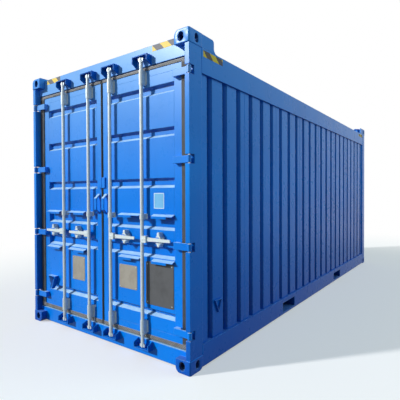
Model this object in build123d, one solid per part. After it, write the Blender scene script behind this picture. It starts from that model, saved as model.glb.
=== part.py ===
from build123d import *
import os

os.makedirs("parts", exist_ok=True)

# Shipping container, 20 ft high cube, built for offshore lifting. Millimetres.
# X runs along the length with the doors at -X, Y across the width, Z up from the ground.
# A "set" is a distance behind the outer plane of the corner castings.
length = 6058.0
width = 2438.0
height = 2896.0

# corner castings: hollow blocks with a slot in the top or bottom face and a hole in two sides
cast_l = 178.0
cast_w = 162.0
cast_h = 118.0
cast_slot_wall = 28.0
cast_end_wall = 26.0
cast_back_wall = 11.0
cast_round = 50.0
cast_edge = 10.0
slot_from_end = 102.5
slot_from_side = 89.5
slot_long = 124.5
slot_wide = 63.5
hole_tall = 79.4
end_hole_wide = 63.5
side_hole_wide = 51.0
hole_from_slot_face = 62.0
hole_side_count = 12

# posts
post_front_set = 8.0
post_side_set = 4.0
post_strip = 48.0
end_post_strip = 80.0
section_wall = 6.0

# door header, door sill and the matching members of the blind end
header_set = 66.0
header_top_drop = 24.0
header_tall = 174.0
sill_top = 162.0
sill_bottom = 12.0
threshold_deep = 38.0
end_header_tall = 178.0

# side rails
top_rail_tall = 218.0
top_rail_wide = 60.0
rail_side_set = 3.0
bottom_rail_bottom = 16.0
bottom_rail_top = 208.0
rail_web = 6.0
rail_top_flange = 65.0
rail_bottom_flange = 50.0

# corrugated sheets
sheet = 3.0
wall_side_set = 20.0
wall_depth = 40.0
wall_groove_count = 23
groove_wide = 80.0
groove_slope = 20.0
wall_end_strip = 89.0
end_groove_count = 9
end_wall_strip = 70.0
roof_drop = 6.0
roof_depth = 20.0
roof_groove_count = 27
roof_groove_wide = 100.0
roof_slope = 25.0
roof_end_strip = 60.0

# floor, cross members and fork pockets
floor_top = 190.0
floor_thick = 28.0
cross_tall = 118.0
cross_flange = 45.0
cross_web = 5.0
cross_pocket_gap = 11.0
end_cross_count = 5
mid_cross_count = 5
pocket_span = 2050.0
pocket_wide = 360.0
pocket_tall = 115.0
pocket_plate = 6.0

# lifting padeyes and the guard plates beside them
guard_thick = 14.0
guard_long = 181.0
guard_corner = 26.0
guard_foot = 50.0
seat_thick = 12.0
seat_long = 250.0
seat_deep = 170.0
eye_thick = 36.0
eye_long = 190.0
eye_tall = 100.0
eye_bore = 60.0
eye_corner = 45.0

# doors: a leaf frame and a panel with flat rows between recessed bands, listed from the top
leaf_set = 74.0
leaf_thick = 52.0
leaf_hinge_gap = 87.0
leaf_centre_gap = 28.0
leaf_top_gap = 38.0
leaf_bottom_gap = 50.0
hinge_stile = 90.0
centre_stile = 70.0
leaf_rail = 60.0
panel_sheet = 4.0
panel_depth = 36.0
panel_slope = 24.0
row_tall = (155.0, 306.0, 368.0, 256.0, 151.0, 477.0, 184.0)
band_tall = (85.0, 82.0, 88.0, 126.0, 108.0, 62.0)
rows_over_handle_count = 4
gasket_set = 67.0
gasket_thick = 35.0
gasket_clear = 5.0
gasket_bevel = 12.0
gasket_lip = 5.0

# folded guards over and under the handles
ledge_proud = 38.0
ledge_fall = 18.0
ledge_lip = 24.0
ledge_plate = 5.0
ledge_bar_gap = 106.0
ledge_end_gap = 56.0
ledge_hand_room = 58.0
upper_ledge_rise = 16.0
lower_ledge_drop = 9.0

# hinges
hinge_count = 4
hinge_from_bottom = 114.0
hinge_from_top = 103.0
pin_set = 24.0
pin_side_set = 22.0
pin_r = 10.0
pin_clear = 0.5
pin_side_count = 16
knuckle_r = 18.0
knuckle_cut = 10.0
blade_tall = 62.0
blade_thick = 12.0
blade_set = 31.0
blade_land = 70.0
blade_ramp = 20.0
notch_tall = 78.0
notch_deep = 74.0

# locking bars, their guides, cams, keepers and handles
bar_space = (160.0, 452.0, 454.0)
bar_set = 30.0
bar_r = 17.0
bar_clear = 0.6
guide_wall = 5.0
guide_out_count = 12
guide_in_count = 8
guide_long = 134.0
guide_end_gap = 4.0
mid_guide_rise = 16.0
mid_guide_long = 50.0
flange_wide = 64.0
flange_tall = 110.0
flange_thick = 6.0
keeper_wide = 196.0
keeper_plate = 10.0
keeper_proud = 62.0
top_keeper_over = 91.0
top_keeper_front = 60.0
bottom_keeper_z = 90.0
bottom_keeper_tall = 65.0
cam_gap = 10.0
cam_tall = 56.0
cam_prong = 22.0
cam_throat = 18.0
cam_thick = 14.0
cam_reach = 30.0
handle_drop = 14.0
handle_tip_gap = 104.0
handle_thick = 10.0
handle_root = 40.0
handle_tip = 25.0
hub_long = 63.0
hub_tall = 62.0
hub_thick = 36.0
catch_from_tip = 138.0
catch_wide = 64.0
catch_nose = 30.0
catch_above = 72.0
catch_below = 60.0
catch_gap = 6.0
catch_flare = 14.0
catch_tip_count = 12
catch_plate = 8.0
catch_proud = 52.0

# pull handles, lap plates and eyes for guide ropes
pull_from_edge = 26.0
pull_wide = 38.0
pull_foot = 212.0
pull_grip = 117.0
pull_over_row = 8.0
pull_set = 25.0
pull_bar = 8.0
pull_heel = 12.0
lap_gap = 6.0
lap_wide = 49.0
lap_tall = 108.0
lap_proud = 14.0
lap_drop = 27.0
tie_plate = 8.0
wall_tie_size = (113.0, 121.0)
wall_tie_proud = 18.0
wall_tie_in = 248.0
wall_tie_z = 484.0
door_tie_size = (139.0, 154.0)
door_tie_proud = 46.0
door_tie_in = 193.0
door_tie_z = 491.0

front = -length / 2
side = width / 2
near = 1.0
end_in = length / 2 - cast_l
cast_in = side - cast_w
cast_under = height - cast_h
post_out = side - post_side_set
post_in = post_out - post_strip
end_post_in = post_out - end_post_strip
rail_out = side - rail_side_set
rail_in = rail_out - top_rail_wide
top_rail_bottom = cast_under - top_rail_tall
header_top = height - header_top_drop
header_bottom = header_top - header_tall
floor_bottom = floor_top - floor_thick
web_in = rail_out - rail_web
leaf_y1 = post_in - leaf_hinge_gap
leaf_y0 = leaf_centre_gap / 2

# the spaces from the meeting edge to the inner bar, the outer bar and the hinge edge fill the leaf
bar_stretch = (leaf_y1 - leaf_y0) / sum(bar_space)
bar_pitch = bar_space[1] * bar_stretch
inner_bar_y = leaf_y0 + bar_space[0] * bar_stretch
bar_y = (inner_bar_y, inner_bar_y + bar_pitch)
handle_long = bar_pitch - handle_tip_gap
catch_at = handle_long - catch_from_tip


def block(x0, x1, y0, y1, z0, z1):
    return Pos((x0 + x1) / 2, (y0 + y1) / 2, (z0 + z1) / 2) * Box(abs(x1 - x0), abs(y1 - y0), abs(z1 - z0))


def prism_x(outline, x0, x1):
    # outlines are sketches in (y, z), (x, z) and (x, y) for the three directions
    plane = Plane(origin=(x0, 0, 0), x_dir=(0, 1, 0), z_dir=(1, 0, 0))
    return extrude(plane * outline, amount=x1 - x0, dir=(1, 0, 0))


def prism_y(outline, y0, y1):
    plane = Plane(origin=(0, y0, 0), x_dir=(1, 0, 0), z_dir=(0, -1, 0))
    return extrude(plane * outline, amount=y1 - y0, dir=(0, 1, 0))


def prism_z(outline, z0, z1):
    return extrude(Pos(0, 0, z0) * outline, amount=z1 - z0, dir=(0, 0, 1))


def shape(*points):
    return Polygon(*points, align=None)


def flatted(r, sides):
    # a round drawn with flats that touch it, for bores that repeat; two flats lie square to each axis
    return RegularPolygon(r, sides, major_radius=False, rotation=180 / sides)


def rod_z(x, y, r, z0, z1):
    return Pos(x, y, (z0 + z1) / 2) * Cylinder(r, z1 - z0)


def mirrored(part):
    return mirror(part, about=Plane.XZ)


def save(name, parts):
    solids = []
    for part in parts if isinstance(parts, list) else [parts]:
        solids += part.solids()
    export_step(solids[0] if len(solids) == 1 else Compound(children=solids), f"parts/{name}.step")


def groove_line(u0, u1, count, wide, slope, strip, depth):
    # a sheet with flat-bottomed grooves: (run, depth below the flats)
    flat = (u1 - u0 - 2 * strip - count * wide) / (count - 1)
    line = [(u0, 0.0)]
    for k in range(count):
        start = u0 + strip + k * (wide + flat)
        line += [(start, 0.0), (start + slope, depth), (start + wide - slope, depth), (start + wide, 0.0)]
    return line + [(u1, 0.0)]


def sheet_outline(line, thick):
    return line + [(u, d + thick) for u, d in reversed(line)]


# corner castings
def obround(long, wide):
    # a side hole with flats round its two ends
    reach = (long - wide) / 2
    ends = [Pos(u, 0) * RegularPolygon(wide / 2, hole_side_count) for u in (-reach, reach)]
    return Rectangle(2 * reach, wide) + ends


def casting(sx, sy, top):
    # sx is -1 at the door end, sy is -1 on the right; the slot face is rounded along its free edges
    z0 = cast_under if top else 0.0
    slot_z = height if top else 0.0
    into = -1 if top else 1
    xo = sx * length / 2
    xi = sx * end_in
    yo = sy * side
    yi = sy * cast_in
    body = block(xo, xi, yi, yo, z0, z0 + cast_h)
    slot_face_edges = body.edges().filter_by_position(Axis.Z, slot_z - near, slot_z + near)
    round_y = max(yi, yo) if top else yi
    rounded = slot_face_edges.filter_by(Axis.X).filter_by_position(Axis.Y, round_y - near, round_y + near)
    if not top:
        rounded += slot_face_edges.filter_by(Axis.Y).filter_by_position(Axis.X, xi - near, xi + near)
    body = fillet(rounded, cast_round)
    corner = body.edges().filter_by(Axis.Z).filter_by_position(Axis.X, xo - near, xo + near)
    body = chamfer(corner.filter_by_position(Axis.Y, yo - near, yo + near), cast_edge)
    cx = xo - sx * slot_from_end
    cy = yo - sy * slot_from_side
    hole_z = slot_z + into * hole_from_slot_face
    cavity = block(xo - sx * cast_end_wall, xi + sx * cast_back_wall, yi + sy * cast_back_wall,
                   yo - sy * cast_end_wall, slot_z + into * cast_slot_wall,
                   slot_z + into * (cast_h - cast_back_wall))
    slot = extrude(Pos(cx, cy, slot_z) * SlotOverall(slot_long, slot_wide), amount=cast_slot_wall, both=True)
    end_plane = Plane(origin=(xo, cy, hole_z), x_dir=(0, 0, 1), z_dir=(1, 0, 0))
    end_hole = extrude(end_plane * obround(hole_tall, end_hole_wide), amount=cast_end_wall, both=True)
    side_plane = Plane(origin=(cx, yo, hole_z), x_dir=(0, 0, 1), z_dir=(0, 1, 0))
    side_hole = extrude(side_plane * obround(hole_tall, side_hole_wide), amount=cast_end_wall, both=True)
    return body - cavity - slot - end_hole - side_hole


for name, top in (("bottom_corner_castings", False), ("top_corner_castings", True)):
    save(name, [casting(sx, sy, top) for sx in (-1, 1) for sy in (-1, 1)])

# door posts with a notch at each hinge, and hollow end posts
leaf_z0 = sill_top + leaf_bottom_gap
leaf_z1 = header_bottom - leaf_top_gap
hinge_z0 = leaf_z0 + hinge_from_bottom
hinge_step = (leaf_z1 - hinge_from_top - hinge_z0) / (hinge_count - 1)
hinge_z = [hinge_z0 + k * hinge_step for k in range(hinge_count)]
pin_x = front + pin_set
pin_y = side - pin_side_set

door_post = block(front + post_front_set, -end_in, post_in, post_out, cast_h, cast_under)
for z in hinge_z:
    door_post -= block(front, front + notch_deep, post_in, post_out, z - notch_tall / 2, z + notch_tall / 2)
end_face = length / 2 - post_front_set
end_post = block(end_in, end_face, end_post_in, post_out, cast_h, cast_under)
end_post -= block(end_in + section_wall, end_face - section_wall, end_post_in + section_wall,
                  post_out - section_wall, cast_h, cast_under)
save("left_door_post", door_post)
save("right_door_post", mirrored(door_post))
save("left_end_post", end_post)
save("right_end_post", mirrored(end_post))

pin_section = Pos(pin_x, pin_y) * RegularPolygon(pin_r, pin_side_count)
pins = [prism_z(pin_section, z - notch_tall / 2, z + notch_tall / 2) for z in hinge_z]
save("hinge_pins", pins + [mirrored(p) for p in pins])

# end members: hollow sections cut round the castings
beam_face = front + header_set


def end_member(section, half, z_cast0, z_cast1, x0, x1):
    member = prism_y(section - offset(section, -section_wall), -half, half)
    for s in (-1, 1):
        member -= block(x0, x1, s * cast_in, s * side, z_cast0, z_cast1)
    return member


header_section = shape((beam_face, header_bottom), (-end_in, header_bottom), (-end_in, header_top),
                       (beam_face, header_top))
save("door_header", end_member(header_section, post_in, cast_under, height, front, -end_in))

step_x = -end_in - threshold_deep
sill_section = shape((beam_face, sill_bottom), (-end_in, sill_bottom), (-end_in, floor_top),
                     (step_x, floor_top), (step_x, sill_top), (beam_face, sill_top))
save("door_sill", end_member(sill_section, post_in, 0, cast_h, front, -end_in))

end_header_bottom = cast_under - end_header_tall
end_header_section = shape((end_in, end_header_bottom), (end_face, end_header_bottom),
                           (end_face, cast_under), (end_in, cast_under))
save("end_header", end_member(end_header_section, end_post_in, cast_under, height, end_in, length / 2))
end_sill_section = shape((end_in, sill_bottom), (end_face, sill_bottom), (end_face, floor_top),
                         (end_in, floor_top))
save("end_sill", end_member(end_sill_section, end_post_in, 0, cast_h, end_in, length / 2))

# side rails: a hollow top rail and a channel at the bottom with gaps for the fork pockets
top_rail = block(-end_in, end_in, rail_in, rail_out, top_rail_bottom, cast_under)
top_rail -= block(-end_in, end_in, rail_in + section_wall, rail_out - section_wall,
                  top_rail_bottom + section_wall, cast_under - section_wall)
save("left_top_rail", top_rail)
save("right_top_rail", mirrored(top_rail))

pocket_out_wide = pocket_wide + 2 * pocket_plate
pocket_out_tall = pocket_tall + 2 * pocket_plate
pocket_x = (-pocket_span / 2, pocket_span / 2)
rail_section = shape((rail_out, bottom_rail_bottom), (rail_out, bottom_rail_top),
                     (rail_out - rail_top_flange, bottom_rail_top),
                     (rail_out - rail_top_flange, bottom_rail_top - rail_web),
                     (web_in, bottom_rail_top - rail_web), (web_in, bottom_rail_bottom + rail_web),
                     (rail_out - rail_bottom_flange, bottom_rail_bottom + rail_web),
                     (rail_out - rail_bottom_flange, bottom_rail_bottom))
bottom_rail = prism_x(rail_section, -end_in, end_in)
for x in pocket_x:
    bottom_rail -= block(x - pocket_out_wide / 2, x + pocket_out_wide / 2, web_in - rail_web, side,
                         floor_bottom - pocket_out_tall, floor_bottom)
save("left_bottom_rail", bottom_rail)
save("right_bottom_rail", mirrored(bottom_rail))

pockets = []
for x in pocket_x:
    tube = block(x - pocket_out_wide / 2, x + pocket_out_wide / 2, -rail_out, rail_out,
                 floor_bottom - pocket_out_tall, floor_bottom)
    pockets.append(tube - block(x - pocket_wide / 2, x + pocket_wide / 2, -side, side,
                                floor_bottom - pocket_plate - pocket_tall, floor_bottom - pocket_plate))
save("fork_pockets", pockets)

# floor on channel cross members
pocket_edge = (pocket_span + pocket_out_wide) / 2
end_pitch = (end_in - pocket_edge - cross_flange - cross_pocket_gap) / end_cross_count
mid_pitch = (pocket_span - pocket_out_wide) / (mid_cross_count + 1)
cross_x = [(k + 1) * end_pitch - end_in for k in range(end_cross_count)]
cross_x += [pocket_edge + cross_pocket_gap + k * end_pitch for k in range(end_cross_count)]
cross_x += [(k - (mid_cross_count - 1) / 2) * mid_pitch - cross_flange / 2 for k in range(mid_cross_count)]
cross_low = floor_bottom - cross_tall
cross = []
for x in cross_x:
    channel = shape((x, floor_bottom), (x, cross_low), (x + cross_flange, cross_low),
                    (x + cross_flange, cross_low + cross_web), (x + cross_web, cross_low + cross_web),
                    (x + cross_web, floor_bottom - cross_web), (x + cross_flange, floor_bottom - cross_web),
                    (x + cross_flange, floor_bottom))
    cross.append(prism_y(channel, -web_in, web_in))
save("cross_members", cross)
save("floor", block(-end_in, end_in, -web_in, web_in, floor_bottom, floor_top))

# corrugated walls and roof
wall_out = side - wall_side_set
wall_line = groove_line(-end_in, end_in, wall_groove_count, groove_wide, groove_slope, wall_end_strip,
                        wall_depth)
wall_plan = shape(*[(u, wall_out - d) for u, d in sheet_outline(wall_line, sheet)])
side_wall = prism_z(wall_plan, bottom_rail_top, top_rail_bottom)
save("left_side_wall", side_wall)
save("right_side_wall", mirrored(side_wall))

end_line = groove_line(-end_post_in, end_post_in, end_groove_count, groove_wide, groove_slope,
                       end_wall_strip, wall_depth)
end_out = length / 2 - wall_side_set
end_plan = shape(*[(end_out - d, u) for u, d in sheet_outline(end_line, sheet)])
save("end_wall", prism_z(end_plan, floor_top, end_header_bottom))

roof_top = cast_under - roof_drop
roof_line = groove_line(-end_in, end_in, roof_groove_count, roof_groove_wide, roof_slope, roof_end_strip,
                        roof_depth)
roof_profile = shape(*[(u, roof_top - d) for u, d in sheet_outline(roof_line, sheet)])
save("roof", prism_y(roof_profile, -rail_in, rail_in))


# lifting padeyes: a seat on the rail, a 45 degree eye plate and a guard plate in line with the casting
def padeye(sx):
    x_in = sx * end_in
    x_end = sx * (end_in - guard_long)
    x_foot = x_end - sx * guard_foot
    guard = block(x_in, x_end, rail_out - guard_thick, rail_out, cast_under, height)
    tip = guard.edges().filter_by(Axis.Y).filter_by_position(Axis.X, x_end - near, x_end + near)
    guard = fillet(tip.filter_by_position(Axis.Z, height - near, height + near), guard_corner)
    foot = Pos((x_end + x_foot) / 2, cast_under + guard_foot / 2) * Rectangle(guard_foot, guard_foot)
    foot -= Pos(x_foot, cast_under + guard_foot) * Circle(guard_foot)
    guard += prism_y(foot, rail_out - guard_thick, rail_out)
    seat = block(x_in, sx * (end_in - seat_long), rail_out - guard_thick, rail_out - seat_deep,
                 cast_under, cast_under + seat_thick)
    mid_x = sx * (end_in - seat_long / 2)
    mid_y = rail_out - guard_thick - (seat_deep - guard_thick) / 2
    plane = Plane(origin=(mid_x, mid_y, cast_under + seat_thick), x_dir=(-sx, -1, 0), z_dir=(-1, sx, 0))
    outline = shape((-eye_long / 2, 0), (eye_long / 2, 0), (eye_long / 2, eye_tall - eye_corner),
                    (eye_long / 2 - eye_corner, eye_tall), (eye_corner - eye_long / 2, eye_tall),
                    (-eye_long / 2, eye_tall - eye_corner))
    outline -= Pos(0, eye_tall / 2) * Circle(eye_bore / 2)
    eye = extrude(plane * outline, amount=eye_thick / 2, both=True)
    return guard + seat + eye


eyes = [padeye(-1), padeye(1)]
save("lifting_padeyes", eyes + [mirrored(e) for e in eyes])

# cam keepers on the header and the sill
keeper_front = beam_face - keeper_proud
top_keeper_z = header_bottom + top_keeper_over
bar_x = front + bar_set


def keeper(y, z_plate, z_end, z_front):
    # a plate across with two cheeks towards z_end, their far corners cut back to the beam
    up = 1 if z_end > z_plate else -1
    y0 = y - keeper_wide / 2
    y1 = y + keeper_wide / 2
    bracket = block(keeper_front, beam_face, y0, y1, z_plate, z_plate + up * keeper_plate)
    cheek = shape((beam_face, z_plate), (keeper_front, z_plate), (keeper_front, z_front),
                  (beam_face - keeper_plate, z_end), (beam_face, z_end))
    return bracket + prism_y(cheek, y0, y0 + keeper_plate) + prism_y(cheek, y1 - keeper_plate, y1)


low_end = bottom_keeper_z + bottom_keeper_tall
all_bars = [s * y for s in (-1, 1) for y in bar_y]
top_front = top_keeper_z - top_keeper_front
save("top_cam_keepers", [keeper(y, top_keeper_z, header_bottom, top_front) for y in all_bars])
save("bottom_cam_keepers",
     [keeper(y, bottom_keeper_z - keeper_plate, low_end, low_end - 2 * keeper_plate) for y in all_bars])


# folded eyes for guide ropes: a flat top and two sides that meet below
def tie_eye(x, y, z, normal, size, proud):
    wide, tall = size
    plane = Plane(origin=(x, y, z), x_dir=(-normal[1], normal[0], 0), z_dir=normal)
    outer = shape((-wide / 2, tall / 2), (0, -tall / 2), (wide / 2, tall / 2))
    return extrude(plane * (outer - offset(outer, -tie_plate)), amount=proud)


wall_tie = tie_eye(wall_tie_in - end_in, wall_out, wall_tie_z, (0, 1, 0), wall_tie_size, wall_tie_proud)
save("wall_tie_eyes", [wall_tie, mirrored(wall_tie)])

# door leaves, modelled on the left (+Y) and mirrored
leaf_face = front + leaf_set
leaf_back = leaf_face + leaf_thick
field_y0 = leaf_y0 + centre_stile
field_y1 = leaf_y1 - hinge_stile

leaf_frame = block(leaf_face, leaf_back, leaf_y0, leaf_y1, leaf_z0, leaf_z1)
leaf_frame -= block(leaf_face, leaf_back, field_y0, field_y1, leaf_z0 + leaf_rail, leaf_z1 - leaf_rail)

# heights of the rows, stretched to fill the leaf, as (top, bottom)
row_stretch = (leaf_z1 - leaf_z0 - sum(band_tall)) / sum(row_tall)
rows = []
z = leaf_z1
for tall, band in zip(row_tall, band_tall + (0.0,)):
    rows.append((z, z - tall * row_stretch))
    z -= tall * row_stretch + band
lap_row, over_handle, handle_row, under_handle = rows[rows_over_handle_count - 2:][:4]

line = [(leaf_z1 - leaf_rail, 0.0)]
for (_, hi), (lo, _) in zip(rows, rows[1:]):
    line += [(hi, 0.0), (hi - panel_slope, panel_depth), (lo + panel_slope, panel_depth), (lo, 0.0)]
line.append((leaf_z0 + leaf_rail, 0.0))
panel_profile = shape(*[(leaf_face + d, z) for z, d in sheet_outline(line, panel_sheet)])
panel = prism_y(panel_profile, field_y0, field_y1)


def ledge(z, y, y1):
    # a plate falling away from the leaf; its lip stops short of the handle's tip, as room for a hand
    x0 = leaf_face - ledge_proud
    x1 = leaf_face + panel_sheet / 2
    y0 = y + ledge_bar_gap
    top = z - ledge_fall
    under = top - ledge_plate
    plate = shape((x1, z), (x0, top), (x0, under), (x0 + ledge_plate, under), (x1, z - ledge_plate))
    lip = block(x0, x0 + ledge_plate, y0, y + handle_long - ledge_hand_room, top - ledge_lip, under)
    return prism_y(plate, y0, y1) + lip


for z in (over_handle[1] + upper_ledge_rise, under_handle[0] - lower_ledge_drop):
    panel += ledge(z, bar_y[0], bar_y[1] - ledge_end_gap)
    panel += ledge(z, bar_y[1], field_y1)

gasket_x0 = front + gasket_set
gasket = block(gasket_x0, gasket_x0 + gasket_thick, gasket_lip, post_in - gasket_clear,
               sill_top + gasket_clear, header_bottom - gasket_clear)
gasket = chamfer(gasket.faces().sort_by(Axis.X)[0].edges(), gasket_bevel)
gasket -= block(gasket_x0, gasket_x0 + gasket_thick, leaf_y0, leaf_y1, leaf_z0, leaf_z1)


# hinge blades: an eye for the pin, a flat arm across the gap and a land on the leaf
def hinge_blade(z):
    back = front + blade_set + blade_thick
    land_y = leaf_y1 - blade_land
    arm = shape((front + blade_set, pin_y), (front + blade_set, land_y), (leaf_face, land_y),
                (leaf_face, leaf_y1 - blade_ramp), (back, leaf_y1), (back, pin_y))
    eye = Pos(pin_x, pin_y) * chamfer(Rectangle(2 * knuckle_r, 2 * knuckle_r).vertices(), knuckle_cut)
    bore = Pos(pin_x, pin_y) * flatted(pin_r + pin_clear, pin_side_count)
    return prism_z(arm + eye - bore, z - blade_tall / 2, z + blade_tall / 2)


blades = [hinge_blade(z) for z in hinge_z]


# bar guides: a half-round saddle, with flats that clear the bar, its legs on a flange plate
def bar_guide(y, z0, z1, plate_tall):
    bore_r = bar_r + bar_clear
    out_r = bore_r + guide_wall
    plate_x = leaf_face - flange_thick
    mid_x = (bar_x + plate_x) / 2
    saddle = Pos(bar_x, y) * RegularPolygon(out_r, guide_out_count)
    saddle += Pos(mid_x, y) * Rectangle(plate_x - bar_x, 2 * out_r)
    saddle -= Pos(bar_x, y) * flatted(bore_r, guide_in_count)
    saddle -= Pos(mid_x, y) * Rectangle(plate_x - bar_x, 2 * bore_r)
    mid = (z0 + z1) / 2
    plate = block(plate_x, leaf_face, y - flange_wide / 2, y + flange_wide / 2,
                  mid - plate_tall / 2, mid + plate_tall / 2)
    return prism_z(saddle, z0, z1) + plate


mid_guide_z = over_handle[1] - mid_guide_long + mid_guide_rise
guides = []
for y in bar_y:
    guides.append(bar_guide(y, leaf_z1 - guide_end_gap - guide_long, leaf_z1 - guide_end_gap, flange_tall))
    guides.append(bar_guide(y, leaf_z0 + guide_end_gap, leaf_z0 + guide_end_gap + guide_long, flange_tall))
    guides.append(bar_guide(y, mid_guide_z, mid_guide_z + mid_guide_long, mid_guide_long))

handle_z = sum(handle_row) / 2 - handle_drop


# handle catches: a plate on the leaf with a round-tipped nose above and below the handle
def handle_catch(y):
    mid = y + catch_at
    slot = handle_root / 2 + catch_gap
    half = catch_wide / 2
    nose = catch_nose / 2
    x0 = leaf_face - catch_proud
    catch = prism_x(Pos(mid, handle_z) * Rectangle(catch_wide, 2 * slot), leaf_face - catch_plate, leaf_face)
    for up, reach in ((1, catch_above), (-1, catch_below)):
        z_slot = handle_z + up * slot
        z_neck = z_slot + up * catch_flare
        z_tip = handle_z + up * (reach - nose)
        lug = shape((mid - half, z_slot), (mid + half, z_slot), (mid + nose, z_neck), (mid + nose, z_tip),
                    (mid - nose, z_tip), (mid - nose, z_neck))
        lug += Pos(mid, z_tip) * RegularPolygon(nose, catch_tip_count)
        catch += prism_x(lug, x0, leaf_face)
    return catch


catches = [handle_catch(y) for y in bar_y]

# pull handles bent from flat bar, and lap plates where the leaves meet
pull_z = over_handle[1] + pull_over_row + pull_foot / 2 - upper_ledge_rise
pull_x = front + pull_set
pull_half = pull_foot / 2
grip_half = pull_grip / 2
pull_line = [(leaf_face, -pull_half), (pull_x, -grip_half), (pull_x, grip_half), (leaf_face, pull_half)]
inner_line = [(leaf_face, pull_heel - pull_half), (pull_x + pull_bar, pull_bar / 2 - grip_half),
              (pull_x + pull_bar, grip_half - pull_bar / 2), (leaf_face, pull_half - pull_heel)]
pull_y0 = leaf_y0 + pull_from_edge
pull = prism_y(Pos(0, pull_z) * (shape(*pull_line) - shape(*inner_line)), pull_y0, pull_y0 + pull_wide)

lap_x = leaf_face - lap_proud
lap_y0 = lap_gap / 2
lap_y1 = lap_y0 + lap_wide
lap_plan = shape((lap_x, lap_y0), (gasket_x0, lap_y0), (gasket_x0, leaf_y0), (leaf_face, leaf_y0),
                 (leaf_face, lap_y1), (lap_x, lap_y1))
lap_z = lap_row[1] - lap_drop
lap = prism_z(lap_plan, lap_z - lap_tall / 2, lap_z + lap_tall / 2)

door_tie = tie_eye(leaf_face, leaf_y1 - door_tie_in, door_tie_z, (-1, 0, 0), door_tie_size, door_tie_proud)

doors = {"frame": [leaf_frame], "panel": [panel], "gasket": [gasket], "hinge_blades": blades,
         "bar_guides": guides, "handle_catches": catches, "fittings": [pull, lap]}
for name, parts in doors.items():
    save(f"right_door_{name}", [mirrored(part) for part in parts])
    save(f"left_door_{name}", parts + [door_tie] if name == "fittings" else parts)


# locking bars: rod, forked cams at both ends, a hub and a handle that lies towards the hinges
def locking_bar(y):
    z0 = bottom_keeper_z + cam_gap
    z1 = top_keeper_z - keeper_plate - cam_gap
    bar = rod_z(bar_x, y, bar_r, z0, z1)
    for z, up in ((z0, 1), (z1, -1)):
        fork = shape((y - cam_reach, z), (y - cam_throat, z), (y, z + up * cam_throat), (y + cam_throat, z),
                     (y + cam_reach, z), (y + cam_reach, z + up * cam_prong), (y, z + up * cam_tall),
                     (y - cam_reach, z + up * cam_prong))
        bar += prism_x(fork, bar_x - cam_thick / 2, bar_x + cam_thick / 2)
    bar += block(bar_x - hub_thick / 2, bar_x + hub_thick / 2, y, y + hub_long, handle_z - hub_tall / 2,
                 handle_z + hub_tall / 2)
    grip = shape((y, handle_z - handle_root / 2), (y + handle_long, handle_z - handle_tip / 2),
                 (y + handle_long, handle_z + handle_tip / 2), (y, handle_z + handle_root / 2))
    return bar + prism_x(grip, bar_x - handle_thick / 2, bar_x + handle_thick / 2)


for name, y in zip(("inner", "outer"), bar_y):
    bar = locking_bar(y)
    save(f"left_{name}_locking_bar", bar)
    save(f"right_{name}_locking_bar", mirrored(bar))
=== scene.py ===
import math
import bpy
import bmesh
from mathutils import Matrix, Quaternion, Vector


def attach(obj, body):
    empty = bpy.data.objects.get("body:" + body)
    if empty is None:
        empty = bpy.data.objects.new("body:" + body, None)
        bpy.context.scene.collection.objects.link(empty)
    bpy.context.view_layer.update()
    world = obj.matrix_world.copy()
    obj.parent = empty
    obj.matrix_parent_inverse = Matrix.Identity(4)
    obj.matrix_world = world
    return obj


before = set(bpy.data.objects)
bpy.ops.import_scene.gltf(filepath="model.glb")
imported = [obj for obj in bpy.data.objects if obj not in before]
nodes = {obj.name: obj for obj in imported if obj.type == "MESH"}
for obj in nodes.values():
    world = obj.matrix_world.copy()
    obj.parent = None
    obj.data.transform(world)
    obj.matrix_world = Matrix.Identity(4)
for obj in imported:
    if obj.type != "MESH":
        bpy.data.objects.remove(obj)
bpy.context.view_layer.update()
scene = bpy.context.scene
bothSides = ((-1, "right"), (1, "left"))  # sign of Y and the side's name
print("frame loaded:", len(nodes), "nodes")


# material building blocks

def newMaterial(name):
    mat = bpy.data.materials.new(name)
    mat.use_nodes = True
    return mat, mat.node_tree, mat.node_tree.nodes["Principled BSDF"]


def addNode(tree, kind, sockets=None, **settings):
    made = tree.nodes.new(kind)
    for key, value in settings.items():
        setattr(made, key, value)
    for key, value in (sockets or {}).items():
        if isinstance(value, bpy.types.NodeSocket):
            tree.links.new(value, made.inputs[key])
        else:
            made.inputs[key].default_value = value
    return made


def math2(tree, operation, a, b=0.0):
    return addNode(tree, "ShaderNodeMath", {0: a, 1: b}, operation=operation).outputs[0]


def noise(tree, coords, scale, detail=3.0, rough=0.5):
    return addNode(tree, "ShaderNodeTexNoise", {"Vector": coords, "Scale": scale, "Detail": detail,
                                                "Roughness": rough}).outputs["Fac"]


def remap(tree, value, low, high, outLow=0.0, outHigh=1.0):
    return addNode(tree, "ShaderNodeMapRange", {"Value": value, "From Min": low, "From Max": high, "To Min": outLow,
                                                "To Max": outHigh}).outputs["Result"]


def mixColour(tree, factor, a, b):
    a, b = [(*value, 1.0) if isinstance(value, tuple) else value for value in (a, b)]
    return addNode(tree, "ShaderNodeMix", {0: factor, 6: a, 7: b}, data_type="RGBA").outputs[2]


def stretched(tree, coords, scale):
    return addNode(tree, "ShaderNodeMapping", {"Vector": coords, "Scale": scale}).outputs["Vector"]


def splitAxes(tree, vector):
    return addNode(tree, "ShaderNodeSeparateXYZ", {"Vector": vector}).outputs


def objectCoords(tree):
    return addNode(tree, "ShaderNodeTexCoord").outputs["Object"]


def faceNormal(tree):
    return addNode(tree, "ShaderNodeNewGeometry").outputs["Normal"]


def edgeMask(tree, radius, bend=(0.98, 0.80), samples=4):
    # how far the rounded normal leaves the flat one: 1 along the edges, 0 on the faces
    rounded = addNode(tree, "ShaderNodeBevel", {"Radius": radius}, samples=samples).outputs["Normal"]
    same = addNode(tree, "ShaderNodeVectorMath", {0: rounded, 1: faceNormal(tree)}, operation="DOT_PRODUCT")
    return rounded, remap(tree, same.outputs["Value"], *bend)


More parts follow.
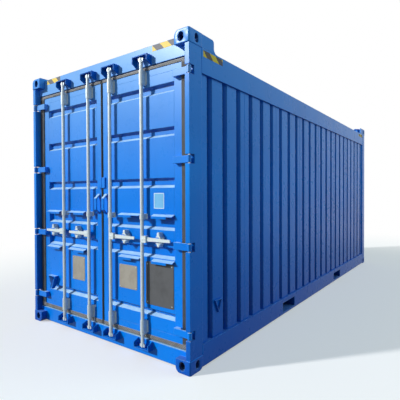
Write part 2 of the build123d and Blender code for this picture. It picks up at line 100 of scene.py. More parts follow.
def bump(tree, height, strength, distance, normal=None):
    sockets = {"Height": height, "Strength": strength, "Distance": distance}
    if normal is not None:
        sockets["Normal"] = normal
    return addNode(tree, "ShaderNodeBump", sockets).outputs["Normal"]


def lookingUp(tree):
    return splitAxes(tree, faceNormal(tree))["Z"]


# faces that look up, in patches: 1 there, 0 on upright faces; it carries settled dust and a painted sheen on those
# faces
dustFall = {"patches": (7.0, 4.0, 0.6), "thinnest": 0.65, "slope": (0.20, 0.60)}


def upFacingDustAndSheen(tree, coords):
    patchy = remap(tree, noise(tree, coords, *dustFall["patches"]), 0.3, 0.7, dustFall["thinnest"], 1.0)
    return math2(tree, "MULTIPLY", remap(tree, lookingUp(tree), *dustFall["slope"]), patchy)


# gloss blue paint: slow drift in the blue, rain streaks, orange peel; edges paler where they rub and with a painted
# highlight; faces that look up paler with settled dust and a painted sheen; a painted sheen towards the top; painted
# shade in hollows, on undersides and, on the frame and walls, towards the ground
bluePaint = {"deep": (0.0, 0.186, 0.74), "bright": (0.0, 0.218, 0.83), "drift": (1.3, 4.0),
             "streak": (0.0, 0.150, 0.64), "streakStretch": (9.0, 9.0, 0.5), "streaks": (2.0, 4.0, 0.6),
             "streakShare": 0.35,
             # low: a painted shade blue, used towards the ground and on undersides
             "low": (0.0, 0.036, 0.36), "groundShadeBelow": 1.7, "groundShadeShare": 0.0,
             "paintedTopSheen": (0.28, 0.58, 0.97), "topSheenFrom": (1.2, 2.8), "topSheenShare": 0.0,
             "edged": True, "underSlope": (-0.10, -0.60), "undersideShadeShare": 0.70,
             "hollow": (0.0, 0.020, 0.13), "deepness": 0.15, "shadeFromOcclusion": (0.80, 0.20), "hollowShare": 0.85,
             "rubbedEdgeAndHighlight": (0.06, 0.34, 0.87), "edge": 0.008, "scuff": (35.0, 5.0, 0.7),
             "dust": (0.54, 0.80, 0.94), "dustAndSheenShare": 0.0, "dulled": 0.36,
             "gloss": (0.25, 0.33), "glossDrift": (6.0, 5.0, 0.6), "specular": 0.14,
             "peel": (160.0, 2.0), "peelBump": (0.03, 0.0015)}
# doors: a strong painted sheen towards the top and on faces that look up
doorPaint = dict(bluePaint, topSheenShare=0.66, dustAndSheenShare=0.82)
# welds, frame and walls a shade greener than the doors: a painted tint of the sky light on the shaded side
weldPaint = dict(bluePaint, deep=(0.0, 0.212, 0.76), bright=(0.0, 0.248, 0.85), edged=False)
framePaint = dict(weldPaint, edged=True, groundShadeShare=0.72, topSheenShare=0.20, dustAndSheenShare=0.12)  # greener than the doors
shadedKeeperPaint = dict(bluePaint, deep=(0.0, 0.120, 0.52), bright=(0.0, 0.140, 0.58))  # a darker copy of the paint: painted shade on the keepers round the cams


def makeBluePaint(name, look):
    mat, tree, bsdf = newMaterial(name)
    coords = objectCoords(tree)
    drift = remap(tree, noise(tree, coords, *look["drift"]), 0.35, 0.65)
    colour = mixColour(tree, drift, look["deep"], look["bright"])
    streaks = noise(tree, stretched(tree, coords, look["streakStretch"]), *look["streaks"])
    colour = mixColour(tree, remap(tree, streaks, 0.55, 0.90, 0.0, look["streakShare"]), colour, look["streak"])
    # painted shade, darker towards the ground
    if look["groundShadeShare"]:
        low = remap(tree, splitAxes(tree, coords)["Z"], look["groundShadeBelow"], 0.0, 0.0, look["groundShadeShare"])
        colour = mixColour(tree, low, colour, look["low"])
    # painted sheen, paler towards the top
    if look["topSheenShare"]:
        top = remap(tree, splitAxes(tree, coords)["Z"], *look["topSheenFrom"])
        top = math2(tree, "MULTIPLY", math2(tree, "MULTIPLY", top, top), look["topSheenShare"])
        colour = mixColour(tree, top, colour, look["paintedTopSheen"])
    rounded = None
    if look["edged"]:
        undersideShade = remap(tree, lookingUp(tree), *look["underSlope"], 0.0, look["undersideShadeShare"])
        colour = mixColour(tree, undersideShade, colour, look["low"])  # painted shade on the undersides
        # painted shade in hollows, from the ambient occlusion
        near = addNode(tree, "ShaderNodeAmbientOcclusion", {"Distance": look["deepness"]}, samples=8, only_local=True)
        shadeFromOcclusion = remap(tree, near.outputs["AO"], *look["shadeFromOcclusion"], 0.0, look["hollowShare"])
        colour = mixColour(tree, shadeFromOcclusion, colour, look["hollow"])
        # paler edges: rubbed wear with a painted highlight
        rounded, edges = edgeMask(tree, look["edge"])
        scuff = remap(tree, noise(tree, coords, *look["scuff"]), 0.42, 0.62)
        colour = mixColour(tree, math2(tree, "MULTIPLY", edges, scuff), colour, look["rubbedEdgeAndHighlight"])
    dull = remap(tree, noise(tree, coords, *look["glossDrift"]), 0.3, 0.7, *look["gloss"])
    # faces that look up: dust and a painted sheen in the colour; the dust also dulls the gloss
    if look["dustAndSheenShare"]:
        dust = upFacingDustAndSheen(tree, coords)
        colour = mixColour(tree, math2(tree, "MULTIPLY", dust, look["dustAndSheenShare"]), colour, look["dust"])
        dull = math2(tree, "ADD", dull, math2(tree, "MULTIPLY", dust, look["dulled"]))
    tree.links.new(colour, bsdf.inputs["Base Color"])
    tree.links.new(dull, bsdf.inputs["Roughness"])
    peel = noise(tree, coords, *look["peel"])
    tree.links.new(bump(tree, peel, *look["peelBump"], rounded), bsdf.inputs["Normal"])
    bsdf.inputs["Specular IOR Level"].default_value = look["specular"]
    return mat


# hot-dip zinc: pale crystal spangle with a few dull runs
zinc = {"pale": (0.60, 0.68, 0.70), "dark": (0.45, 0.52, 0.55), "spangle": 90.0, "contrast": 0.55,
        "run": (0.30, 0.35, 0.37), "runStretch": (14.0, 14.0, 1.2), "runs": (3.0, 5.0, 0.65), "runShare": 0.6,
        "edge": 0.002, "edgeShare": 0.5, "gloss": (0.42, 0.60), "metal": 0.35, "pits": (120.0, 4.0),
        "bump": (0.15, 0.001)}


def makeZinc(look):
    mat, tree, bsdf = newMaterial("zincCoat")
    coords = objectCoords(tree)
    cells = addNode(tree, "ShaderNodeTexVoronoi", {"Vector": coords, "Scale": look["spangle"]}).outputs["Color"]
    grain = addNode(tree, "ShaderNodeSeparateColor", {"Color": cells}).outputs[0]
    colour = mixColour(tree, remap(tree, grain, 0.0, 1.0, 0.0, look["contrast"]), look["pale"], look["dark"])
    runs = noise(tree, stretched(tree, coords, look["runStretch"]), *look["runs"])
    colour = mixColour(tree, remap(tree, runs, 0.60, 0.78, 0.0, look["runShare"]), colour, look["run"])
    rounded, edges = edgeMask(tree, look["edge"])
    colour = mixColour(tree, math2(tree, "MULTIPLY", edges, look["edgeShare"]), colour, look["pale"])
    tree.links.new(colour, bsdf.inputs["Base Color"])
    tree.links.new(remap(tree, grain, 0.0, 1.0, *look["gloss"]), bsdf.inputs["Roughness"])
    pits = noise(tree, coords, *look["pits"])
    tree.links.new(bump(tree, pits, *look["bump"], rounded), bsdf.inputs["Normal"])
    bsdf.inputs["Metallic"].default_value = look["metal"]
    return mat


# door seal rubber, fluted across and greyed by dust; its level runs at top and bottom are paler, with dust and a
# painted sheen
seal = {"clean": (0.014, 0.016, 0.019), "dust": (0.050, 0.055, 0.064), "dusty": (14.0, 5.0, 0.65), "flute": 0.022,
        "valley": 0.35, "middle": 1.436, "level": (1.205, 1.225), "chalkAndSheen": (0.21, 0.205, 0.20), "leastChalk": 0.45,
        "lip": (0.52, 0.54, 0.56), "lipShare": 0.8, "gloss": (0.34, 0.60), "bump": (0.6, 0.003)}


def makeSeal(look):
    mat, tree, bsdf = newMaterial("sealRubber")
    coords = objectCoords(tree)
    split = splitAxes(tree, coords)
    along = math2(tree, "ADD", split["Y"], split["Z"])
    wave = math2(tree, "SINE", math2(tree, "MULTIPLY", along, 2.0 * math.pi / look["flute"]))
    dusty = remap(tree, noise(tree, coords, *look["dusty"]), 0.32, 0.62)
    shade = math2(tree, "MULTIPLY", dusty, remap(tree, wave, -1.0, 1.0, look["valley"], 1.0))
    colour = mixColour(tree, shade, look["clean"], look["dust"])
    # level runs at top and bottom paler: dust, and a painted sheen where light catches them
    height = math2(tree, "ABSOLUTE", math2(tree, "SUBTRACT", split["Z"], look["middle"]))
    chalky = remap(tree, shade, 0.0, 0.7, look["leastChalk"], 1.0)
    level = math2(tree, "MULTIPLY", remap(tree, height, *look["level"]), chalky)
    colour = mixColour(tree, level, colour, look["chalkAndSheen"])
    # faces that look up on the lips: paler with dust and a painted sheen
    lips = math2(tree, "MULTIPLY", upFacingDustAndSheen(tree, coords), look["lipShare"])
    tree.links.new(mixColour(tree, lips, colour, look["lip"]), bsdf.inputs["Base Color"])
    tree.links.new(remap(tree, dusty, 0.0, 1.0, *look["gloss"]), bsdf.inputs["Roughness"])
    tree.links.new(bump(tree, wave, *look["bump"]), bsdf.inputs["Normal"])
    return mat


# floor plywood: grain along the length, sheet joints every so often
plywood = {"pale": (0.46, 0.28, 0.14), "dark": (0.20, 0.10, 0.045), "bandStretch": (1.5, 34.0, 8.0),
           "bands": (3.0, 6.0, 0.62), "poreStretch": (30.0, 420.0, 90.0), "pores": (2.0, 3.0), "poreShare": 0.6,
           "joint": (0.03, 0.018, 0.010), "sheet": 1.16, "shift": 0.29, "gap": 0.006, "gapDepth": 4.0,
           "gloss": (0.42, 0.7), "bump": (0.4, 0.002)}


def makePlywood(look):
    mat, tree, bsdf = newMaterial("floorPlywood")
    coords = objectCoords(tree)
    bands = noise(tree, stretched(tree, coords, look["bandStretch"]), *look["bands"])
    pores = noise(tree, stretched(tree, coords, look["poreStretch"]), *look["pores"])
    colour = mixColour(tree, remap(tree, bands, 0.30, 0.70), look["dark"], look["pale"])
    colour = mixColour(tree, remap(tree, pores, 0.55, 0.75, 0.0, look["poreShare"]), colour, look["dark"])
    shifted = math2(tree, "ADD", splitAxes(tree, coords)["X"], look["shift"])
    fromJoint = math2(tree, "PINGPONG", shifted, look["sheet"] / 2.0)
    joint = math2(tree, "LESS_THAN", fromJoint, look["gap"] / 2.0)
    tree.links.new(mixColour(tree, joint, colour, look["joint"]), bsdf.inputs["Base Color"])
    tree.links.new(remap(tree, bands, 0.3, 0.7, *look["gloss"]), bsdf.inputs["Roughness"])
    height = math2(tree, "SUBTRACT", pores, math2(tree, "MULTIPLY", joint, look["gapDepth"]))
    tree.links.new(bump(tree, height, *look["bump"]), bsdf.inputs["Normal"])
    return mat


# turned steel of the hinge pins, with rings of tool marks
pinSteel = {"bright": (0.62, 0.62, 0.60), "oxide": (0.20, 0.15, 0.11), "rust": (60.0, 5.0, 0.7), "rustShare": 0.7,
            "ringStretch": (4.0, 4.0, 900.0), "rings": (1.0, 2.0), "gloss": (0.28, 0.7), "metal": 0.9,
            "bump": (0.25, 0.0006)}


def makePinSteel(look):
    mat, tree, bsdf = newMaterial("pinSteel")
    coords = objectCoords(tree)
    rings = noise(tree, stretched(tree, coords, look["ringStretch"]), *look["rings"])
    rust = remap(tree, noise(tree, coords, *look["rust"]), 0.52, 0.72, 0.0, look["rustShare"])
    tree.links.new(mixColour(tree, rust, look["bright"], look["oxide"]), bsdf.inputs["Base Color"])
    tree.links.new(remap(tree, rust, 0.0, look["rustShare"], *look["gloss"]), bsdf.inputs["Roughness"])
    tree.links.new(bump(tree, rings, *look["bump"]), bsdf.inputs["Normal"])
    bsdf.inputs["Metallic"].default_value = look["metal"]
    return mat


# height marking tape: slanted yellow and black, scuffed through in places
tape = {"yellow": (0.80, 0.56, 0.03), "black": (0.035, 0.038, 0.048), "pitch": 0.184, "scuff": (0.26, 0.27, 0.29),
        "worn": (55.0, 6.0, 0.75), "wornShare": 0.5, "gloss": (0.55, 0.75), "fine": (300.0, 2.0),
        "bump": (0.1, 0.0006), "thick": 0.0008, "tall": 0.056, "round": 0.003}


def makeTape(look):
    mat, tree, bsdf = newMaterial("markingTape")
    coords = objectCoords(tree)
    split = splitAxes(tree, addNode(tree, "ShaderNodeTexCoord").outputs["UV"])  # metres from the top left corner
    phase = math2(tree, "FRACT", math2(tree, "DIVIDE", math2(tree, "ADD", split["X"], split["Y"]), look["pitch"]))
    colour = mixColour(tree, math2(tree, "GREATER_THAN", phase, 0.5), look["black"], look["yellow"])
    worn = remap(tree, noise(tree, coords, *look["worn"]), 0.60, 0.74, 0.0, look["wornShare"])
    tree.links.new(mixColour(tree, worn, colour, look["scuff"]), bsdf.inputs["Base Color"])
    tree.links.new(remap(tree, worn, 0.0, look["wornShare"], *look["gloss"]), bsdf.inputs["Roughness"])
    tree.links.new(bump(tree, noise(tree, coords, *look["fine"]), *look["bump"]), bsdf.inputs["Normal"])
    return mat


# plain sheet for boards and plates: colour, fine grain, smudges
sheetWear = {"smears": (9.0, 5.0, 0.65), "speckShare": 0.35, "duller": 0.2, "bump": (0.12, 0.0008)}
sheets = {"beige": {"name": "beigePlate", "colour": (0.345, 0.315, 0.262), "smudge": (0.262, 0.237, 0.198),
                    "grain": 420.0, "rough": 0.5},
          "board": {"name": "darkBoard", "colour": (0.072, 0.075, 0.080), "smudge": (0.055, 0.056, 0.060),
                    "grain": 260.0, "rough": 0.55},
          "label": {"name": "paleLabel", "colour": (0.16, 0.50, 0.80), "smudge": (0.13, 0.42, 0.70),
                    "grain": 300.0, "rough": 0.4},
          "border": {"name": "labelBorder", "colour": (0.62, 0.78, 0.88), "smudge": (0.52, 0.68, 0.80),
                     "grain": 300.0, "rough": 0.4}}


def makeSheet(look):
    mat, tree, bsdf = newMaterial(look["name"])
    coords = objectCoords(tree)
    smears = remap(tree, noise(tree, coords, *sheetWear["smears"]), 0.40, 0.70)
    base = mixColour(tree, smears, look["colour"], look["smudge"])
    specks = remap(tree, noise(tree, coords, look["grain"], 3.0, 0.7), 0.45, 0.65, 0.0, sheetWear["speckShare"])
    tree.links.new(mixColour(tree, specks, base, look["smudge"]), bsdf.inputs["Base Color"])
    dull = remap(tree, smears, 0.0, 1.0, look["rough"], look["rough"] + sheetWear["duller"])
    tree.links.new(dull, bsdf.inputs["Roughness"])
    tree.links.new(bump(tree, noise(tree, coords, look["grain"]), *sheetWear["bump"]), bsdf.inputs["Normal"])
    return mat


finish = {"blue_paint": makeBluePaint("bluePaint", framePaint),
          "door": makeBluePaint("doorPaint", doorPaint),
          "shadedKeeper": makeBluePaint("shadedKeeperPaint", shadedKeeperPaint),
          "weld": makeBluePaint("weldPaint", weldPaint),
          "galvanised": makeZinc(zinc),
          "rubber": makeSeal(seal),
          "plywood": makePlywood(plywood),
          "pin_steel": makePinSteel(pinSteel),
          "tape": makeTape(tape)}
finish.update({key: makeSheet(look) for key, look in sheets.items()})
print("finishes made:", len(finish))

# each CAD node takes the finish of what it is
finishOf = {"rubber": ("gasket",),
            "galvanised": ("locking_bar", "bar_guides", "handle_catches"),
            "plywood": ("floor",),
            "pin_steel": ("hinge_pins",),
            "shadedKeeper": ("cam_keepers",),
            "door": ("door_frame", "door_panel", "door_fittings", "hinge_blades", "door_header", "door_sill")}
for name, obj in nodes.items():
    key = next((k for k, ends in finishOf.items() if name.endswith(ends)), "blue_paint")
    obj.data.materials.clear()
    obj.data.materials.append(finish[key])
print("nodes dressed")

# flats of round forms shade smooth, real corners stay sharp, cast corners are eased
shading = {"join": 0.00002, "sharp": 33.0, "castEdge": 0.005, "castSteps": 3, "castAngle": 40.0}
for name, obj in nodes.items():
    data = obj.data
    if data.has_custom_normals:
        data.attributes.remove(data.attributes["custom_normal"])
    data.polygons.foreach_set("use_smooth", [True] * len(data.polygons))
    obj.modifiers.new("joined", "WELD").merge_threshold = shading["join"]
    if name.endswith("castings"):
        eased = obj.modifiers.new("eased", "BEVEL")
        eased.width = shading["castEdge"]
        eased.segments = shading["castSteps"]
        eased.limit_method = "ANGLE"
        eased.angle_limit = math.radians(shading["castAngle"])
    corners = obj.modifiers.new("corners", "EDGE_SPLIT")
    corners.split_angle = math.radians(shading["sharp"])
print("nodes smoothed")


# mesh building blocks

def newPiece(name, mesh, body, slots):
    data = bpy.data.meshes.new(name)
    bmesh.ops.recalc_face_normals(mesh, faces=mesh.faces)
    mesh.to_mesh(data)
    mesh.free()
    for slot in slots:
        data.materials.append(slot)
    obj = bpy.data.objects.new(name, data)
    scene.collection.objects.link(obj)
    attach(obj, body)
    return obj


def bridge(mesh, low, high, smooth):
    made = [mesh.faces.new((low[k - 1], low[k], high[k], high[k - 1])) for k in range(len(low))]
    for face in made:
        face.smooth = smooth
    return made


def joinRings(mesh, rings, smooth=True):
    # a skin from ring to ring, with a flat cap at both ends
    faces = [mesh.faces.new(rings[-1]), mesh.faces.new(list(reversed(rings[0])))]
    for low, high in zip(rings, rings[1:]):
        faces += bridge(mesh, low, high, smooth)
    return faces


def circle(radius, sides):
    turns = [2 * math.pi * k / sides for k in range(sides)]
    return [(radius * math.cos(turn), radius * math.sin(turn)) for turn in turns]


def roundedOutline(wide, tall, radius, steps=4):
    points = []
    for cx, cy, start in ((1, 1, 0), (-1, 1, 90), (-1, -1, 180), (1, -1, 270)):
        for k in range(steps + 1):
            a = math.radians(start + 90.0 * k / steps)
            points.append((cx * (wide / 2 - radius) + radius * math.cos(a),
                           cy * (tall / 2 - radius) + radius * math.sin(a)))
    return points


plateEdge = {"share": 0.4, "most": 0.0015, "leastRound": 0.0003}


def addPlate(mesh, place, wide, tall, radius, thick, slot=0):
    # a plate on the local XY plane, its front edge softened; place turns it into the frame
    edge = min(thick * plateEdge["share"], plateEdge["most"])
    rings = []
    flat = {}
    for z, shrink in ((0.0, 0.0), (thick - edge, 0.0), (thick, edge)):
        corner = max(radius - shrink, plateEdge["leastRound"])
        outline = roundedOutline(wide - 2 * shrink, tall - 2 * shrink, corner)
        rings.append([mesh.verts.new(place @ Vector((x, y, z))) for x, y in outline])
        flat.update({vert: (x + wide / 2, y - tall / 2) for vert, (x, y) in zip(rings[-1], outline)})
    layer = mesh.loops.layers.uv.verify()
    for face in joinRings(mesh, rings, False):
        face.material_index = slot
        for loop in face.loops:
            loop[layer].uv = flat[loop.vert]


def addTurned(mesh, place, profile, slot=0, sides=12):
    # a turned form from (radius, height) pairs along the local Z, closed at both ends
    rings = [[mesh.verts.new(place @ Vector((x, y, z))) for x, y in circle(r, sides)] for r, z in profile]
    for face in joinRings(mesh, rings):
        face.material_index = slot


domeProfile = ((1.0, 0.0), (1.0, 0.25), (0.80, 0.68), (0.42, 0.93), (0.12, 1.0))  # flat skirt, then a low crown


def addDome(mesh, place, radius, height, slot=0, sides=12):
    addTurned(mesh, place, [(radius * r, height * h) for r, h in domeProfile], slot, sides)


def addLink(mesh, place, long, wide, wire, sides=6):
    # one chain link: round wire bent to an oval on the local XY plane
    shortest = 0.0002  # the bends leave a straight bit at the ends
    path = roundedOutline(wide, long, wide / 2 - shortest)
    rings = []
    for k, (x, y) in enumerate(path):
        before, after = path[k - 1], path[(k + 1) % len(path)]
        outward = Vector((after[1] - before[1], before[0] - after[0], 0.0)).normalized()
        rings.append([mesh.verts.new(place @ (Vector((x, y, 0.0)) + u * outward + Vector((0.0, 0.0, v))))
                      for u, v in circle(wire, sides)])
    for k in range(len(rings)):
        bridge(mesh, rings[k - 1], rings[k], True)


beadForm = {"sides": 6, "thin": 0.80, "swell": 0.16, "drift": 0.04, "driftStep": 1.7, "tip": 0.3, "fewest": 6}


def addBead(mesh, start, end, look):
    # a weld run: a ridge that swells and thins along the joint and tapers at both ends
    start, end = Vector(start), Vector(end)
    turn = (end - start).to_track_quat("Z", "Y").to_matrix()
    count = max(beadForm["fewest"], int((end - start).length / look["ripple"]) * 2)
    rings = []
    for k in range(count + 1):
        drift = beadForm["drift"] * math.sin(k * beadForm["driftStep"])
        swell = beadForm["thin"] + beadForm["swell"] * (k % 2) + drift
        r = look["radius"] * (swell if 0 < k < count else beadForm["tip"])
        centre = start.lerp(end, k / count)
        rings.append([mesh.verts.new(centre + turn @ Vector((x, y, 0.0))) for x, y in circle(r, beadForm["sides"])])
    joinRings(mesh, rings)


def upright(at, outward):
    # local Y stands up and local Z points outward
    up, out = Vector((0.0, 0.0, 1.0)), Vector(outward)
    return Matrix.Translation(at) @ Matrix((up.cross(out), up, out)).transposed().to_4x4()


doorFace = -2.955  # front of the doors' panels


def onDoor(y, z, x=doorFace):
    return upright((x, y, z), (-1.0, 0.0, 0.0))


# blank plates and boards on the doors, with a rivet at each corner
plateRivet = {"radius": 0.0055, "height": 0.0035, "sunk": 0.0002}
doorPlates = [
    {"name": "rightDoorPlate", "body": "right_door", "at": (-0.3825, 0.713), "size": (0.255, 0.232), "round": 0.010,
     "thick": 0.0025, "finish": "beige", "fixings": 0.014},
    {"name": "leftDoorPlate", "body": "left_door", "at": (0.420, 0.705), "size": (0.222, 0.262), "round": 0.010,
     "thick": 0.0025, "finish": "beige", "fixings": 0.014},
    {"name": "rightDoorBoard", "body": "right_door", "at": (-0.804, 0.694), "size": (0.348, 0.398), "round": 0.012,
     "thick": 0.004, "finish": "board", "fixings": 0.022},
]
for plate in doorPlates:
    mesh = bmesh.new()
    wide, tall = plate["size"]
    addPlate(mesh, onDoor(*plate["at"]), wide, tall, plate["round"], plate["thick"])
    front = doorFace - plate["thick"] + plateRivet["sunk"]
    for sx in (-1, 1):
        for sy in (-1, 1):
            y = plate["at"][0] + sx * (wide / 2 - plate["fixings"])
            z = plate["at"][1] + sy * (tall / 2 - plate["fixings"])
            addDome(mesh, onDoor(y, z, front), plateRivet["radius"], plateRivet["height"], 1)
    newPiece(plate["name"], mesh, plate["body"], [finish[plate["finish"]], finish["galvanised"]])

# the small blank label has a pale border and an inner field
label = {"at": (-0.8005, 1.4575), "size": (0.127, 0.143), "round": 0.006, "border": 0.008, "fieldRound": 0.004,
         "thick": 0.0006, "sunk": 0.0001}
mesh = bmesh.new()
addPlate(mesh, onDoor(*label["at"]), *label["size"], label["round"], label["thick"], 1)
field = [side - 2 * label["border"] for side in label["size"]]
front = doorFace - label["thick"] + label["sunk"]
addPlate(mesh, onDoor(*label["at"], front), *field, label["fieldRound"], label["thick"])
newPiece("rightDoorLabel", mesh, "right_door", [finish["label"], finish["border"]])
print("door plates placed")

# marking tapes at the top corners: on the header, the blind end and both top rails
tapes = {"header": {"from": 0.735, "to": 1.005, "top": 2.870, "face": -2.963},
         "blind": {"from": 0.780, "to": 1.050, "top": 2.770, "face": 3.021},
         "railDoorEnd": {"from": -2.830, "to": -2.530, "top": 2.764, "face": 1.216},
         "railBlindEnd": {"from": 2.530, "to": 2.830, "top": 2.764, "face": 1.216}}
for key, spot in tapes.items():
    middle = (spot["from"] + spot["to"]) / 2
    z = spot["top"] - tape["tall"] / 2
    for sign, side in bothSides:
        if key.startswith("rail"):
            place = upright((middle, sign * spot["face"], z), (0.0, sign, 0.0))
        else:
            place = upright((spot["face"], sign * middle, z), (math.copysign(1.0, spot["face"]), 0.0, 0.0))
        mesh = bmesh.new()
        addPlate(mesh, place, spot["to"] - spot["from"], tape["tall"], tape["round"], tape["thick"])
        newPiece(f"{key}Tape_{side}", mesh, "frame", [finish["tape"]])
print("tapes placed")

# welds of the frame, given for the left side and mirrored to the right
weld = {"radius": 0.0036, "ripple": 0.014, "beamFace": -2.963}
castingWeld = {"z": (0.118, 2.778), "sideY": 1.215, "sideX": (3.018, 2.855), "endX": 3.021, "endY": 1.212,
               "strip": ((-1, 1.170), (1, 1.138))}  # end of the container, inner edge of its post
railWeld = {"x": 2.851, "runs": ((1.215, 2.563, 2.775), (1.200, 0.212, 2.556), (1.215, 0.122, 0.205),
                                 (1.215, 2.782, 2.888))}  # Y, from, to
padeyeWeld = {"at": (2.726, 1.124, 2.790), "apart": 0.018, "half": 0.092}
beamWeld = {"end": 1.057, "corner": (1.061, 1.163), "runs": ((2.782, 2.868, 2.778), (0.014, 0.116, 0.118))}
postWeld = {"door": (1.167, ((2.703, 2.774), (0.122, 0.156))), "blind": (1.135, ((2.604, 2.774), (0.122, 0.186))),
            "blindFace": 3.0205}
keeperWeld = {"y": (0.174, 0.626), "plateHalf": 0.095, "cheek": 0.098, "z": ((2.789, 2.702), (0.080, 0.152))}


def upRun(x, y, low, high):
    return (x, y, low), (x, y, high)


def crossRun(x, z, near, far):
    return (x, near, z), (x, far, z)


runs = []
for end, strip in castingWeld["strip"]:
    for z in castingWeld["z"]:
        runs.append([(end * x, castingWeld["sideY"], z) for x in castingWeld["sideX"]])
        runs.append(crossRun(end * castingWeld["endX"], z, castingWeld["endY"], strip))
    runs += [upRun(end * railWeld["x"], *run) for run in railWeld["runs"]]
    eye = Vector((end * padeyeWeld["at"][0], *padeyeWeld["at"][1:]))
    along, across = Vector((-end, -1.0, 0.0)).normalized(), Vector((1.0, -end, 0.0)).normalized()
    for shift in (-padeyeWeld["apart"], padeyeWeld["apart"]):
        reach = padeyeWeld["half"] * along
        runs.append((eye + shift * across - reach, eye + shift * across + reach))
for low, high, corner in beamWeld["runs"]:
    runs.append(upRun(weld["beamFace"], beamWeld["end"], low, high))
    runs.append(crossRun(weld["beamFace"], corner, *beamWeld["corner"]))
for face, (y, spans) in ((weld["beamFace"], postWeld["door"]), (postWeld["blindFace"], postWeld["blind"])):
    runs += [upRun(face, y, *span) for span in spans]
for y in keeperWeld["y"]:
    for plate, far in keeperWeld["z"]:
        runs.append(crossRun(weld["beamFace"], plate, y - keeperWeld["plateHalf"], y + keeperWeld["plateHalf"]))
        for edge in (-keeperWeld["cheek"], keeperWeld["cheek"]):
            runs.append(upRun(weld["beamFace"], y + edge, plate, far))

# upright seams where the wall sheets join, on every third flat
seam = {"radius": 0.0030, "ripple": 0.020, "first": -2.1034, "step": 0.74235, "count": 7, "y": 1.1985,
        "z": (0.212, 2.557)}
for sign, side in bothSides:
    mesh = bmesh.new()
    for run in runs:
        start, stop = [(x, sign * y, z) for x, y, z in run]
        addBead(mesh, start, stop, weld)
    newPiece(f"frameWelds_{side}", mesh, "frame", [finish["weld"]])
    mesh = bmesh.new()
    for k in range(seam["count"]):
        start, stop = upRun(seam["first"] + k * seam["step"], sign * seam["y"], *seam["z"])
        addBead(mesh, start, stop, seam)
    newPiece(f"wallSeams_{side}", mesh, "frame", [finish["weld"]])
print("welds laid")

# rivets of the handles and their catches
rivet = {"barY": {"inner": 0.174, "outer": 0.626}, "handleZ": 1.1045, "hub": (0.0095, 0.0030),
         "hubFace": -3.0168, "hubSteps": (0.022, 0.046), "catch": (0.0075, 0.0030), "catchFace": -3.0068,
         "catchStep": 0.210, "catchRise": (0.055, -0.044)}
for sign, side in bothSides:
    catches = bmesh.new()
    for which, y in rivet["barY"].items():
        hubs = bmesh.new()
        for step in rivet["hubSteps"]:
            addDome(hubs, onDoor(sign * (y + step), rivet["handleZ"], rivet["hubFace"]), *rivet["hub"])
        newPiece(f"{side}{which.capitalize()}HandleRivets", hubs, f"{side}_{which}_bar", [finish["galvanised"]])
        for rise in rivet["catchRise"]:
            spot = onDoor(sign * (y + rivet["catchStep"]), rivet["handleZ"] + rise, rivet["catchFace"])
            addDome(catches, spot, *rivet["catch"])
    newPiece(f"{side}CatchRivets", catches, f"{side}_door", [finish["galvanised"]])
print("rivets set")

# short chains with a locking pin, hung beside the lower guides of the inner bars
chain = {"y": 0.131, "top": 0.332, "x": -2.972, "pitch": 0.0125, "links": 9, "long": 0.0170, "wide": 0.0092,
         "wire": 0.0020, "firstDrop": 0.003, "lean": 8.0, "leanStep": 1.9, "pinRise": 0.006,
         "pin": ((0.0050, 0.0), (0.0050, 0.004), (0.0030, 0.006), (0.0030, 0.036), (0.0010, 0.041))}
hanger = {"shift": 0.004, "size": (0.022, 0.024), "round": 0.005, "thick": 0.005, "studRise": 0.002, "studX": -2.960,
          "stud": ((0.0035, 0.0), (0.0035, 0.013), (0.0055, 0.014), (0.0055, 0.017), (0.0040, 0.018))}
for sign, side in bothSides:
    mesh = bmesh.new()
    spot = onDoor(sign * (chain["y"] + hanger["shift"]), chain["top"] + hanger["shift"])
    addPlate(mesh, spot, *hanger["size"], hanger["round"], hanger["thick"])
    addTurned(mesh, onDoor(sign * chain["y"], chain["top"] + hanger["studRise"], hanger["studX"]), hanger["stud"])
    z = chain["top"] - chain["firstDrop"]
    for k in range(chain["links"]):
        lean = chain["lean"] * math.sin(chain["leanStep"] * k)
        turned = Matrix.Rotation(math.radians(45.0 + 90.0 * (k % 2) + lean), 4, "Z")  # every other link crosswise
        turned = turned @ Matrix.Rotation(math.radians(90.0), 4, "X")
        place = Matrix.Translation((chain["x"], sign * chain["y"], z)) @ turned
        addLink(mesh, place, chain["long"], chain["wide"], chain["wire"])
        z -= chain["pitch"]
    place = Matrix.Translation((chain["x"], sign * chain["y"], z + chain["pinRise"]))
    addTurned(mesh, place @ Matrix.Rotation(math.pi, 4, "X"), chain["pin"])
    newPiece(f"{side}DoorChain", mesh, f"{side}_door", [finish["galvanised"]])
print("chains hung")

# countersunk floor screws over every cross member, the same on both halves of the length
screw = {"radius": 0.0065, "height": 0.0010, "sides": 8, "floor": 0.190, "across": 8, "half": 1.10,
         "rows": (0.280, 0.559, 1.245, 1.562, 1.878, 2.195, 2.512)}
mesh = bmesh.new()
for x in (*[-row for row in reversed(screw["rows"])], 0.0, *screw["rows"]):
    for k in range(screw["across"]):
        y = screw["half"] * (2.0 * k / (screw["across"] - 1) - 1.0)
        spot = Matrix.Translation((x, y, screw["floor"]))
        addDome(mesh, spot, screw["radius"], screw["height"], 0, screw["sides"])
newPiece("floorScrews", mesh, "frame", [finish["pin_steel"]])
print("floor screws driven")

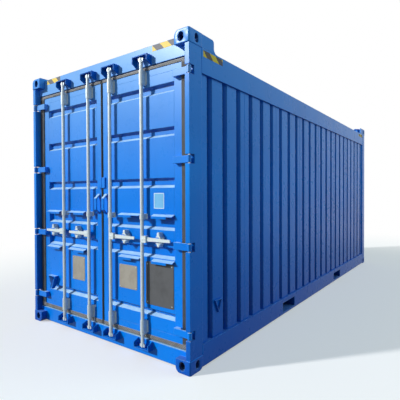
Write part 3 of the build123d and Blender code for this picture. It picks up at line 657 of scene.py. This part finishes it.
# studio: pale floor that keeps the shadow, white surround, a sun-like lamp from the front left and a soft fill
studio = {"floorSeen": (0.96, 0.94, 0.92), "floorBounce": (0.14, 0.14, 0.14), "floorWhite": (0.38, 1.0),
          "floorRadius": 60.0, "floorSides": 96, "floorRough": 0.9, "fade": (0.8, 7.0),
          "footprint": (("X", 3.03), ("Y", 1.22)), "white": (1.0, 1.0, 1.0, 1.0),
          "ambient": (0.60, 0.88, 1.0, 1.0), "ambientLevel": 0.26,
          "keyFrom": (-6.76, 5.88, 4.46), "keyAngle": 3.0, "keyLevel": 3.7, "keyColour": (1.0, 1.0, 1.0),
          "fillFrom": (4.0, -6.0, 4.5), "fillAngle": 40.0, "fillLevel": 1.0, "fillColour": (0.60, 0.92, 1.0)}


def whiteRays(tree):
    rays = addNode(tree, "ShaderNodeLightPath").outputs
    seen = math2(tree, "MAXIMUM", rays["Is Camera Ray"], rays["Is Glossy Ray"])
    return math2(tree, "MAXIMUM", seen, rays["Is Transmission Ray"])


world = bpy.data.worlds.new("studioWorld")
scene.world = world
world.use_nodes = True
tree = world.node_tree
ambient = tree.nodes["Background"]
ambient.inputs["Color"].default_value = studio["ambient"]
ambient.inputs["Strength"].default_value = studio["ambientLevel"]
white = addNode(tree, "ShaderNodeBackground", {"Color": studio["white"], "Strength": 1.0})
both = addNode(tree, "ShaderNodeMixShader", {0: whiteRays(tree), 1: ambient.outputs[0], 2: white.outputs[0]})
tree.links.new(both.outputs[0], tree.nodes["World Output"].inputs["Surface"])

mesh = bmesh.new()
bmesh.ops.create_circle(mesh, cap_ends=True, segments=studio["floorSides"], radius=studio["floorRadius"])
floorData = bpy.data.meshes.new("studioFloor")
mesh.to_mesh(floorData)
mesh.free()
floor = bpy.data.objects.new("studioFloor", floorData)
scene.collection.objects.link(floor)
mat, tree, bsdf = newMaterial("studioFloor")
seen = whiteRays(tree)
tree.links.new(mixColour(tree, seen, studio["floorBounce"], studio["floorSeen"]), bsdf.inputs["Base Color"])
bsdf.inputs["Roughness"].default_value = studio["floorRough"]
glow = addNode(tree, "ShaderNodeEmission", {"Color": studio["white"], "Strength": 1.0})
split = splitAxes(tree, objectCoords(tree))
squares = []
for axis, half in studio["footprint"]:
    past = math2(tree, "MAXIMUM", math2(tree, "SUBTRACT", math2(tree, "ABSOLUTE", split[axis]), half), 0.0)
    squares.append(math2(tree, "MULTIPLY", past, past))
away = math2(tree, "SQRT", math2(tree, "ADD", *squares))  # distance from the footprint
pale = remap(tree, away, *studio["fade"], *studio["floorWhite"])
pale.node.interpolation_type = "SMOOTHSTEP"
share = math2(tree, "MULTIPLY", seen, pale)
both = addNode(tree, "ShaderNodeMixShader", {0: share, 1: bsdf.outputs[0], 2: glow.outputs[0]})
tree.links.new(both.outputs[0], tree.nodes["Material Output"].inputs["Surface"])
floorData.materials.append(mat)


def addSun(lampName):
    lamp = bpy.data.lights.new(f"{lampName}Lamp", "SUN")
    lamp.color = studio[f"{lampName}Colour"]
    lamp.energy = studio[f"{lampName}Level"]
    lamp.angle = math.radians(studio[f"{lampName}Angle"])
    obj = bpy.data.objects.new(f"{lampName}Lamp", lamp)
    scene.collection.objects.link(obj)
    obj.location = studio[f"{lampName}From"]
    obj.rotation_euler = Vector(obj.location).to_track_quat("Z", "Y").to_euler()
    return obj


addSun("key")
addSun("fill").visible_glossy = False  # reflections show the plain surround

# camera at the photograph's viewing angle
view = {"at": (-5.332, -3.105, 1.522), "azimuth": -55.016, "elevation": 0.792, "roll": -0.183, "focal": 360.416,
        "centre": (216.838, 198.534), "image": 400.0, "sensor": 36.0, "farthest": 200.0}
camera = bpy.data.objects.new("camera", bpy.data.cameras.new("camera"))
scene.collection.objects.link(camera)
az, el = math.radians(view["azimuth"]), math.radians(view["elevation"])
backward = Vector((math.sin(az) * math.cos(el), -math.cos(az) * math.cos(el), math.sin(el)))
camera.rotation_mode = "QUATERNION"
camera.rotation_quaternion = Quaternion(backward, math.radians(view["roll"])) @ (-backward).to_track_quat("-Z", "Y")
camera.location = view["at"]
camera.data.sensor_width = view["sensor"]
camera.data.lens = view["focal"] / view["image"] * view["sensor"]
camera.data.shift_x = (view["image"] / 2 - view["centre"][0]) / view["image"]
camera.data.shift_y = (view["centre"][1] - view["image"] / 2) / view["image"]
camera.data.clip_end = view["farthest"]
scene.camera = camera
scene.view_settings.view_transform = "Standard"
print("studio and camera ready")
